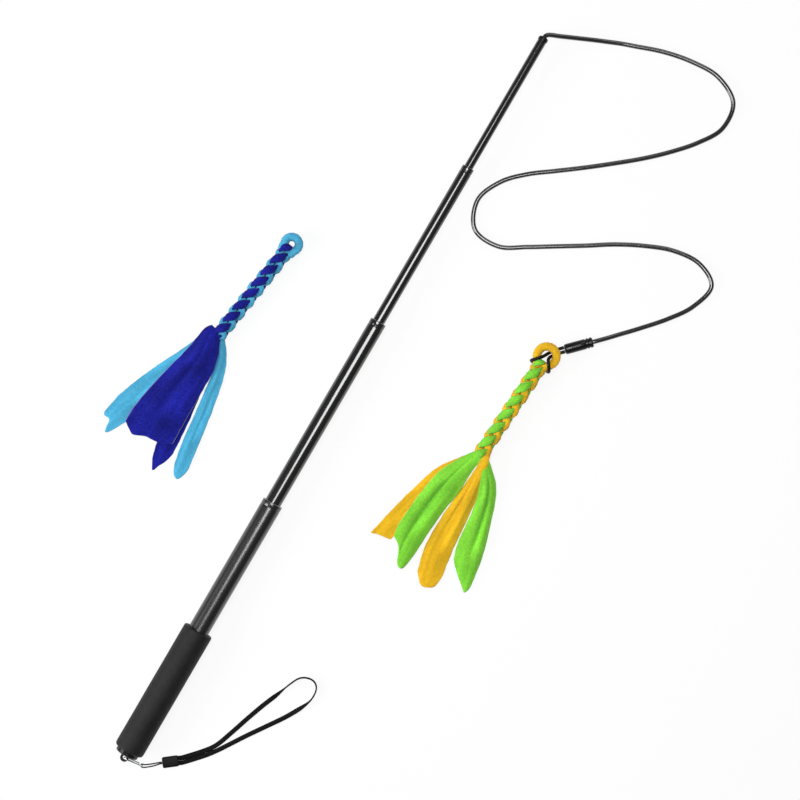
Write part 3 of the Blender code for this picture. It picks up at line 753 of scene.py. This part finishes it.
webbing = finish_named(
    "woven_band",
    (0.004, 0.004, 0.0045),
    roughness=0.6,
    Specular_IOR_Level=0.12,
)
mottle(webbing, scale=500, low=0.52, high=0.72)
braided_cover(webbing, pitch=2.2, strength=0.8)
band = shell("strap_loop_band", band_rings)
dress(band, webbing, "wrist_strap", "black_webbing", "strap_loop")

# Fleece eye of the play toy: an orange strip rolled into a soft tube and turned back on itself
# at the head of the braid, where the cord's noose goes through.
# The length and width of the streaks of painted sheen and painted shade on fleece.
PAINTED_SHEEN_LENGTH = 46
PAINTED_SHEEN_WIDTH = 13
PALER_AT_CUT = 0.35
# The colour sockets of a mix node.
MIX_FIRST = 6
MIX_SECOND = 7
MIX_RESULT = 2


def fleece(name, colour, deep, sheen, painted_shade_low=0.74, painted_sheen_high=1.16):
    """Brushed fleece of short tangled fibres.

    Its colour changes in random darker patches, long streaks of painted sheen and painted shade run
    along it, and it is paler at a cut edge.
    """
    material = finish_named(
        name,
        colour,
        roughness=0.95,
        Sheen_Weight=sheen,
        Sheen_Roughness=0.5,
        Specular_IOR_Level=0.1,
    )
    mottle(material, scale=420, low=deep, high=colour, socket="Base Color", detail=6.0)
    pile = new_node(material, "ShaderNodeTexNoise", Scale=1900, Detail=4.0, Roughness=0.7)
    relief(material, pile, "Fac", strength=0.5, distance=0.0006)
    tufts = new_node(material, "ShaderNodeTexNoise", Scale=330, Detail=2.0)
    relief(material, tufts, "Fac", strength=0.4, distance=0.0012)
    shader = material.node_tree.nodes["Principled BSDF"]
    body_colour = shader.inputs["Base Color"].links[0].from_node
    # Long streaks along the strip multiply its colour up and down: painted sheen and painted shade.
    along = new_node(material, "ShaderNodeUVMap", {"uv_map": "along"})
    painted_sheen_space = new_node(material, "ShaderNodeMapping", Scale=(1 / PAINTED_SHEEN_LENGTH, 1 / PAINTED_SHEEN_WIDTH, 1))
    painted_sheen_noise = new_node(material, "ShaderNodeTexNoise", Scale=1.0, Detail=1.5)
    painted_sheen_amount = new_node(material, "ShaderNodeMapRange", From_Min=0.3, From_Max=0.7)
    painted_sheen_amount.inputs["To Min"].default_value = painted_shade_low
    painted_sheen_amount.inputs["To Max"].default_value = painted_sheen_high
    multiply = {"data_type": "RGBA", "blend_type": "MULTIPLY"}
    shaded = new_node(material, "ShaderNodeMix", multiply, Factor=1.0)
    wire(material, along, "UV", painted_sheen_space, "Vector")
    wire(material, painted_sheen_space, "Vector", painted_sheen_noise, "Vector")
    wire(material, painted_sheen_noise, "Fac", painted_sheen_amount, "Value")
    wire(material, body_colour, "Color", shaded, MIX_FIRST)
    wire(material, painted_sheen_amount, "Result", shaded, MIX_SECOND)
    edge = new_node(material, "ShaderNodeUVMap", {"uv_map": "cut_edge"})
    parts = new_node(material, "ShaderNodeSeparateXYZ")
    narrow = new_node(material, "ShaderNodeMapRange", From_Min=0.55, From_Max=0.8, To_Max=0.55)
    paler = new_node(material, "ShaderNodeMix", {"data_type": "RGBA"})
    wire(material, edge, "UV", parts, "Vector")
    wire(material, parts, "Y", narrow, "Value")
    wire(material, narrow, "Result", paler, "Factor")
    wire(material, shaded, MIX_RESULT, paler, MIX_FIRST)
    pale = [channel + PALER_AT_CUT * (1 - channel) for channel in colour]
    paler.inputs[MIX_SECOND].default_value = (*pale, 1)
    wire(material, paler, MIX_RESULT, shader, "Base Color")
    return material


lime = fleece("lime_fleece", (0.27, 0.80, 0.060), deep=(0.19, 0.64, 0.035), sheen=0.12)
orange = fleece("orange_fleece", (0.92, 0.56, 0.020), deep=(0.82, 0.44, 0.012), sheen=0.12)
ROLL_SIDES = 28
ROLL_STEP = 0.8
ROLL_TURN_LENGTH = 9.0
ROLL_RADIUS = 4.5
RIDGES = 3
RIDGE_LOW = 0.94
RIDGE_HEIGHT = 0.075
EYE_BEND = (122, 98, 72, 48, 24, 0, -24, -48, -72, -98, -122)


def eye_tube(name, neck, tail, reach, radius, spread, leg_end):
    """A strip rolled into a tube and bent into an eye, with the roll's ridges turning along it.

    Its two legs run into the braid, one on each side of the middle.
    """
    leg = [(-leg_end, spread), (-leg_end + 2.2, spread), (1.6, spread + 1.2)]
    route = list(leg)
    for angle in map(math.radians, EYE_BEND):
        route.append((reach + radius * math.cos(angle), radius * math.sin(angle)))
    route += [(x, -y) for x, y in reversed(leg)]
    line = smooth_line([on_toy(neck, tail, x, y) for x, y in route], ROLL_STEP)
    rings = rings_along(line, circle(1.0, ROLL_SIDES))
    shaped = []
    for row, (middle, ring) in enumerate(zip(line, rings)):
        ridged = []
        for k, point in enumerate(ring):
            twist = math.tau * k / ROLL_SIDES + row * ROLL_STEP / ROLL_TURN_LENGTH * math.tau
            swell = RIDGE_LOW + RIDGE_HEIGHT * abs(math.sin(RIDGES / 2 * twist))
            ridged.append(middle + (point - middle) * ROLL_RADIUS * swell)
        shaped.append(ridged)
    return shell(name, shaped)


TOY_LEG_END = 3.5
eye = eye_tube(
    "play_toy_eye_fleece",
    TOY_NECK,
    TOY_TAIL,
    reach=11.0,
    radius=10.1,
    spread=4.3,
    leg_end=TOY_LEG_END,
)
dress(eye, orange, "play_toy", "orange_fleece", "play_toy_eye")

# Braid of the play toy: four fleece strips, two lime and two orange, plaited round each other.
# The lime ones cross on the front and the back, the orange ones bulge out at the sides.
LIME_PITCH = 33.8
LIME_ROLL = math.radians(25)
STRAND_SIDES = 28
STRAND_STEP = 0.9
STRAND_PAST_TAIL = 4
MIDDLE_RADIUS = 5.0
WEAVE_DEPTH = 2.4
WEAVE_SHIFT = 0.32
HALF_THICKNESS = 2.2
EDGE_DROP = 0.9
FOLD_DEPTH = 0.2
FORWARD_HALF_ANGLE = math.radians(72)
BACKWARD_HALF_ANGLE = math.radians(64)
SHUT_AT_END = 0.6


def plaited_strand(name, neck, tail, leg_end, pitch, roll, direction, phase, lead):
    """A strip of the round braid: outside the other pair at one crossing, inside at the next.

    The two strips that wind forward (direction 1) are wider than the two that wind back (-1). Each
    starts a lead before the eye's legs end and draws in to the braid's middle at its own ends.
    """
    to_eye, left, up = toy_axes(neck, tail)
    start = neck - (leg_end + 0.5) * to_eye
    length = np.linalg.norm(tail - start)
    end = length + STRAND_PAST_TAIL
    half_angle = FORWARD_HALF_ANGLE if direction > 0 else BACKWARD_HALF_ANGLE
    rings = []
    for run in np.linspace(-lead, end, round(length / STRAND_STEP)):
        middle = direction * (math.tau * run / pitch - math.pi / 2) + phase
        shut = min(1.0, SHUT_AT_END + (run + lead) / 9, SHUT_AT_END + (end - run) / 10)
        ring = []
        for turn in (math.tau * k / STRAND_SIDES for k in range(STRAND_SIDES)):
            share = math.copysign(abs(math.cos(turn)) ** 0.85, math.cos(turn))
            angle = middle + share * half_angle
            weave = math.cos(2 * angle) + WEAVE_SHIFT
            weave = math.copysign(min(1.0, abs(weave)) ** 0.7, weave)
            fold = FOLD_DEPTH * math.sin(7 * share + 0.6 * middle)
            radius = MIDDLE_RADIUS + direction * WEAVE_DEPTH * weave
            radius += (HALF_THICKNESS + fold) * math.sin(turn) - EDGE_DROP * share * share
            around = angle + roll
            outward = up * math.cos(around) + left * math.sin(around)
            ring.append(start - run * to_eye + shut * radius * outward)
        rings.append(ring)
    return shell(name, rings)


LIME_LEAD = 9.5
ORANGE_LEAD = 2.5
TOY_BRAID = (TOY_NECK, TOY_TAIL, TOY_LEG_END, LIME_PITCH, LIME_ROLL)
for number, phase in ((1, 0), (2, math.pi)):
    strand = plaited_strand(f"play_toy_plait_lime_{number}", *TOY_BRAID, 1, phase, LIME_LEAD)
    dress(strand, lime, "play_toy", "lime_fleece", f"play_toy_strand_lime_{number}")
    strand = plaited_strand(f"play_toy_plait_orange_{number}", *TOY_BRAID, -1, phase, ORANGE_LEAD)
    dress(strand, orange, "play_toy", "orange_fleece", f"play_toy_strand_orange_{number}")

# Streamers of the play toy: the loose ends of the four strips, opened out flat on the table
# beyond the braid. Their ends are cut freehand and soft folds run along them.
FLEECE_THICKNESS = 1.8
TABLE_GAP = 0.15
ROW_STEP = 3.0
COLUMN_STEP = 1.5
COLUMNS = 21
CUT_FROM = 0.84
CUT_WAVER = 0.7
EDGE_WAVER = 0.6
WRINKLE_HEIGHT = 0.35


def fleece_tail(name, stations, cut, folds):
    """A loose strip with a freehand cut end and soft folds.

    Each station is its middle x and y, its width, and its left, middle and right heights. The cut
    is how far the end reaches out, from left to right. Each fold is its place across, its height,
    its width, and where along the strip it starts and ends.
    """
    rows = smooth_line(stations, ROW_STEP)
    headings = np.gradient(rows[:, :2], axis=0)
    lowest = FLEECE_THICKNESS / 2 + TABLE_GAP
    vertices = []
    for row, (station, heading) in enumerate(zip(rows, headings)):
        x, y, width, left, middle, right = station
        ahead = heading / np.linalg.norm(heading)
        aside = np.array([ahead[1], -ahead[0]])
        along = row / (len(rows) - 1)
        for column in range(COLUMNS):
            share = 1 - 2 * column / (COLUMNS - 1)
            height = middle + share * (left - right) / 2 + share**2 * ((left + right) / 2 - middle)
            for where, depth, wide, first, last in folds:
                passed = min(max((along - first) / (last - first), 0), 1)
                grown = max(0.0, math.sin(math.pi * passed))
                height += depth * grown * math.exp(-(((share - where) / wide) ** 2))
            height += WRINKLE_HEIGHT * noise.noise(Vector((x / 16, share * 2.2, y / 40)))
            ends = max(0.0, (along - CUT_FROM) / (1 - CUT_FROM))
            reach = np.interp(1 - share, np.linspace(0, 2, len(cut)), cut) * ends
            reach += CUT_WAVER * ends * noise.noise(Vector((share * 7, x, 0)))
            waver = EDGE_WAVER * share * noise.noise(Vector((x / 7, y, share)))
            aside_by = share * width / 2 + waver
            place = np.array([x, y]) + aside_by * aside + reach * ahead
            vertices.append(tuple(at(place[0], place[1], max(height, lowest))))
    faces = []
    edges = []
    lays = []
    for row in range(len(rows) - 1):
        for column in range(COLUMNS - 1):
            first = row * COLUMNS + column
            faces.append([first, first + COLUMNS, first + COLUMNS + 1, first + 1])
            near, far = float(column == 0), float(column == COLUMNS - 2)
            edges += [(row, near), (row + 1, near), (row + 1, far), (row, far)]
            back, front = row * ROW_STEP, (row + 1) * ROW_STEP
            left, right = column * COLUMN_STEP, (column + 1) * COLUMN_STEP
            lays += [(back, left), (front, left), (front, right), (back, right)]
    mesh = bpy.data.meshes.new(name)
    mesh.from_pydata(vertices, [], faces)
    for layer_name, places in (("cut_edge", edges), ("along", lays)):
        layer = mesh.uv_layers.new(name=layer_name)
        layer.data.foreach_set("uv", np.array(places, np.float32).ravel())
    mesh.polygons.foreach_set("use_smooth", [True] * len(mesh.polygons))
    piece = bpy.data.objects.new(name, mesh)
    bpy.context.scene.collection.objects.link(piece)
    thicken = piece.modifiers.new("fleece_thickness", "SOLIDIFY")
    thicken.thickness = FLEECE_THICKNESS / 1000
    thicken.offset = 0
    soften = piece.modifiers.new("soft_edges", "SUBSURF")
    soften.levels = 1
    soften.render_levels = 1
    return piece


def lay_tail(toy, tail, material, slot, stations, cut, folds):
    """Lays one tail of a toy on the table, with its flat size from its stations."""
    piece = fleece_tail(f"{toy}_tail_{tail}", stations, cut, folds)
    dress(piece, material, toy, slot, f"{toy}_streamer_{tail}")


ORANGE_LEFT = [
    (456, -160, 8, 7, 7.4, 7),
    (450, -157, 9, 6.0, 6.2, 6.0),
    (436, -149, 13, 3.6, 4.0, 3.4),
    (415, -138, 20, 1.4, 2.2, 1.4),
    (388, -130, 22, 2.4, 3.2, 2.8),
    (362, -122.6, 22, 6.2, 6.8, 6.6),
    (345, -118.4, 21.5, 6.8, 7.3, 7.0),
    (328, -114, 20, 6.6, 6.8, 6.6),
]
lay_tail(
    "play_toy",
    "orange_left",
    orange,
    "orange_fleece",
    ORANGE_LEFT,
    cut=(6, 2, 0, -2, -4),
    folds=[(0.2, 0.8, 0.3, 0.2, 1.0)],
)
LIME_LEFT = [
    (457, -160.5, 9, 11, 11.6, 11),
    (450, -158.5, 12, 12.2, 13, 11.4),
    (436, -153, 19, 9.0, 11.4, 8.0),
    (412, -147, 30, 5.4, 8.4, 3.4),
    (383, -142.2, 31, 6.4, 9.2, 2.8),
    (361, -140.2, 31, 9.6, 11.0, 5.2),
    (345, -139.5, 31, 9.8, 11.2, 6.2),
    (321, -141, 27, 9.4, 10.4, 6.4),
]
lay_tail(
    "play_toy",
    "lime_left",
    lime,
    "lime_fleece",
    LIME_LEFT,
    cut=(-14, -12, -9, -4, 7, 12, 13, 11, -12),
    folds=[(0.12, -4.8, 0.13, 0.12, 1.05), (0.62, 1.4, 0.2, 0.1, 1.1), (-0.5, 1.6, 0.24, 0.2, 1.2)],
)
ORANGE_CENTRE = [
    (458, -166, 8, 11.5, 12.5, 11.5),
    (448, -168, 9, 13.6, 14.4, 13.6),
    (437, -169.2, 11, 10.8, 12.2, 10.8),
    (424, -170.6, 15, 5.2, 8.6, 5.2),
    (410, -171.6, 19, 2.0, 6.2, 2.0),
    (378, -171.7, 25, 1.4, 5.0, 1.4),
    (346, -173.2, 28.5, 1.4, 4.0, 1.4),
    (318, -178.5, 27, 1.4, 2.6, 1.6),
]
lay_tail(
    "play_toy",
    "orange_centre",
    orange,
    "orange_fleece",
    ORANGE_CENTRE,
    cut=(0, 6, 12, 14, 14, 13, 12, 9, -4),
    folds=[(-0.4, 1.6, 0.22, 0.1, 0.9), (0.3, -2.6, 0.14, 0.2, 0.62), (0.55, 1.6, 0.2, 0.35, 1.2)],
)
LIME_RIGHT = [
    (457, -164, 9, 11.5, 12, 11.5),
    (450.5, -165.5, 11, 13.2, 13.6, 12.8),
    (440, -175, 14, 11.4, 12.4, 9.6),
    (425, -186, 18, 5.6, 8.8, 3.2),
    (400, -194.2, 21.6, 2.2, 6.6, 1.4),
    (360, -202.4, 29, 1.4, 6.2, 1.4),
    (328, -211, 21.7, 1.4, 2.6, 1.6),
]
lay_tail(
    "play_toy",
    "lime_right",
    lime,
    "lime_fleece",
    LIME_RIGHT,
    cut=(-15, -11, -6, -2, 2, 6, 10, 8, 1),
    folds=[(0.35, 1.5, 0.22, 0.1, 1.1), (-0.15, -3.4, 0.14, 0.15, 0.8), (-0.6, 1.8, 0.2, 0.2, 1.1)],
)

# Spare toy: the same toy in dark and light blue, lying by itself on the table with its eye shut
# up small, since no cord is looped through it.
SPARE_NECK = np.array([533.0, 120.2, 10.3])
SPARE_TAIL = np.array([424.5, 136.6, 10.0])
# The dark blue fleece has stronger streaks of painted sheen and painted shade.
dark_blue = fleece(
    "dark_blue_fleece",
    (0.014, 0.018, 0.32),
    deep=(0.006, 0.008, 0.2),
    sheen=0.04,
    painted_shade_low=0.56,
    painted_sheen_high=1.36,
)
light_blue = fleece("light_blue_fleece", (0.095, 0.48, 0.72), deep=(0.058, 0.37, 0.63), sheen=0.12)
SPARE_LEG_END = 1.6
spare_eye = eye_tube(
    "spare_toy_eye_fleece",
    SPARE_NECK,
    SPARE_TAIL,
    reach=10.4,
    radius=7.6,
    spread=4.4,
    leg_end=SPARE_LEG_END,
)
dress(spare_eye, light_blue, "spare_toy", "light_blue_fleece", "spare_toy_eye")
BLUE_PITCH = 31.0
BLUE_ROLL = math.radians(15)
DARK_LEAD = 11.0
LIGHT_LEAD = 2.5
SPARE_BRAID = (SPARE_NECK, SPARE_TAIL, SPARE_LEG_END, BLUE_PITCH, BLUE_ROLL)
for number, phase in ((1, 0), (2, math.pi)):
    strand = plaited_strand(f"spare_toy_plait_dark_{number}", *SPARE_BRAID, 1, phase, DARK_LEAD)
    dress(strand, dark_blue, "spare_toy", "dark_blue_fleece", f"spare_toy_strand_dark_{number}")
    strand = plaited_strand(f"spare_toy_plait_light_{number}", *SPARE_BRAID, -1, phase, LIGHT_LEAD)
    dress(strand, light_blue, "spare_toy", "light_blue_fleece", f"spare_toy_strand_light_{number}")
DARK_FRONT = [
    (428, 142.5, 10, 14.5, 15.6, 14),
    (421, 144, 18, 15.2, 17.4, 13.8),
    (410, 142, 26.5, 12.8, 16, 11.4),
    (388, 141, 37, 7.6, 12.0, 6.6),
    (355, 145, 46, 4.6, 8.2, 4.6),
    (320, 148.5, 54, 4.4, 6.4, 4.4),
    (297, 149, 56, 4.4, 5.0, 4.6),
]
lay_tail(
    "spare_toy",
    "dark_front",
    dark_blue,
    "dark_blue_fleece",
    DARK_FRONT,
    cut=(0, 9, 3, 2, -4),
    folds=[
        (0.42, 2.6, 0.17, 0.04, 1.15),
        (0.1, -2.2, 0.14, 0.05, 0.9),
        (-0.22, 2.2, 0.17, 0.15, 1.2),
        (-0.62, 1.6, 0.14, 0.1, 1.1),
    ],
)
LIGHT_LEFT = [
    (428, 138.5, 8, 11.5, 12.0, 11.5),
    (421.5, 140, 9, 11.8, 12.0, 11.6),
    (408, 147.8, 13, 8.8, 9.4, 8.6),
    (388, 155.8, 16, 3.4, 4.6, 2.8),
    (355, 168.5, 23, 1.4, 2.2, 1.4),
    (318, 181, 28, 1.4, 1.8, 1.4),
    (291, 190, 22, 1.4, 1.4, 1.4),
]
lay_tail(
    "spare_toy",
    "light_left",
    light_blue,
    "light_blue_fleece",
    LIGHT_LEFT,
    cut=(0, 3, 2, 1, 3, 10, 14, 12, -3),
    folds=[(0.35, 1.3, 0.22, 0.2, 1.1), (-0.25, 0.9, 0.2, 0.3, 1.1)],
)
DARK_BACK = [
    (428, 136.5, 8, 9, 9.2, 9),
    (421.5, 137, 9, 8.8, 9.0, 8.6),
    (405, 136, 12, 5.6, 5.8, 5.4),
    (380, 134.5, 17, 2.2, 3.0, 2.2),
    (345, 131.5, 22, 1.4, 2.0, 1.4),
    (310, 128.5, 23, 1.4, 1.8, 1.4),
    (276, 123.5, 18, 1.4, 1.4, 1.4),
]
lay_tail(
    "spare_toy",
    "dark_back",
    dark_blue,
    "dark_blue_fleece",
    DARK_BACK,
    cut=(-3, 3, 9, 8, 3, 0, -3, -7, -12),
    folds=[(0.0, 0.8, 0.3, 0.5, 1.2)],
)
LIGHT_RIGHT = [
    (428, 136, 8, 8, 8.4, 8),
    (421.5, 134, 9, 6.8, 7.4, 6.6),
    (408, 124.5, 10, 2.2, 2.6, 1.8),
    (388, 117.2, 13, 1.5, 2.4, 1.5),
    (352, 111, 15.5, 1.4, 2.6, 1.4),
    (312, 106, 17, 1.4, 2.2, 1.4),
    (283, 101.5, 16, 1.4, 1.4, 1.4),
]
lay_tail(
    "spare_toy",
    "light_right",
    light_blue,
    "light_blue_fleece",
    LIGHT_RIGHT,
    cut=(-4, 5, 9, 11, 12, 11, 8, 4, -2),
    folds=[(0.25, 1.5, 0.26, 0.1, 1.1)],
)

# Table and light: a matt white table top under three wide soft lamps. The one over the view draws
# the long highlights on the tubes and the cord, a low one from the left shows the folds of the
# fleece, and a weak one stands past the tip.
TABLE_REACH = 30
TABLE_TOP = -0.0005
TABLE_GLOW = 0.86
table_mesh = bpy.data.meshes.new("table")
corners = [(-1, -1), (1, -1), (1, 1), (-1, 1)]
corners = [(x * TABLE_REACH, y * TABLE_REACH, TABLE_TOP) for x, y in corners]
table_mesh.from_pydata(corners, [], [(0, 1, 2, 3)])
table = bpy.data.objects.new("table", table_mesh)
bpy.context.scene.collection.objects.link(table)
table_top = finish_named("white_table", (0.9, 0.9, 0.9), roughness=0.9, Specular_IOR_Level=0.1)
glow = new_node(table_top, "ShaderNodeEmission", Strength=1.0)
rays = new_node(table_top, "ShaderNodeLightPath")
seen = new_node(table_top, "ShaderNodeMath", {"operation": "ADD"})
seen_through = new_node(table_top, "ShaderNodeMath", {"operation": "ADD"})
glow_share = new_node(table_top, "ShaderNodeMath", {"operation": "MULTIPLY", "use_clamp": True})
glow_share.inputs[1].default_value = TABLE_GLOW
lit_or_glowing = new_node(table_top, "ShaderNodeMixShader")
wire(table_top, rays, "Is Camera Ray", seen, 0)
wire(table_top, rays, "Is Glossy Ray", seen, 1)
wire(table_top, seen, "Value", seen_through, 0)
wire(table_top, rays, "Is Transmission Ray", seen_through, 1)
wire(table_top, seen_through, "Value", glow_share, 0)
wire(table_top, glow_share, "Value", lit_or_glowing, "Fac")
wire(table_top, table_top.node_tree.nodes["Principled BSDF"], "BSDF", lit_or_glowing, 1)
wire(table_top, glow, "Emission", lit_or_glowing, 2)
table_output = table_top.node_tree.nodes["Material Output"]
wire(table_top, lit_or_glowing, "Shader", table_output, "Surface")
table_mesh.materials.append(table_top)

ROOM_LIGHT = 0.13
# Each lamp's name, place, length, width and power.
LAMPS = [
    ("lamp_over_view", (0.1, 0.13, 1.9), 0.8, 1.0, 27),
    ("lamp_at_left", (-1.4, 1.6, 1.1), 1.2, 1.2, 40),
    ("lamp_at_tip", (1.75, 0.25, 1.2), 1.0, 1.0, 5),
]
for name, place, long, wide, power in LAMPS:
    data = bpy.data.lights.new(name, "AREA")
    data.shape = "RECTANGLE"
    data.size = long
    data.size_y = wide
    data.energy = power
    lamp = bpy.data.objects.new(name, data)
    bpy.context.scene.collection.objects.link(lamp)
    lamp.location = place
    lamp.rotation_euler = (-Vector(place)).to_track_quat("-Z", "Y").to_euler()
world = bpy.data.worlds.new("white_room")
world.use_nodes = True
background = world.node_tree.nodes["Background"]
background.inputs["Color"].default_value = (1, 1, 1, 1)
background.inputs["Strength"].default_value = ROOM_LIGHT
bpy.context.scene.world = world
bpy.context.scene.view_settings.view_transform = "Standard"
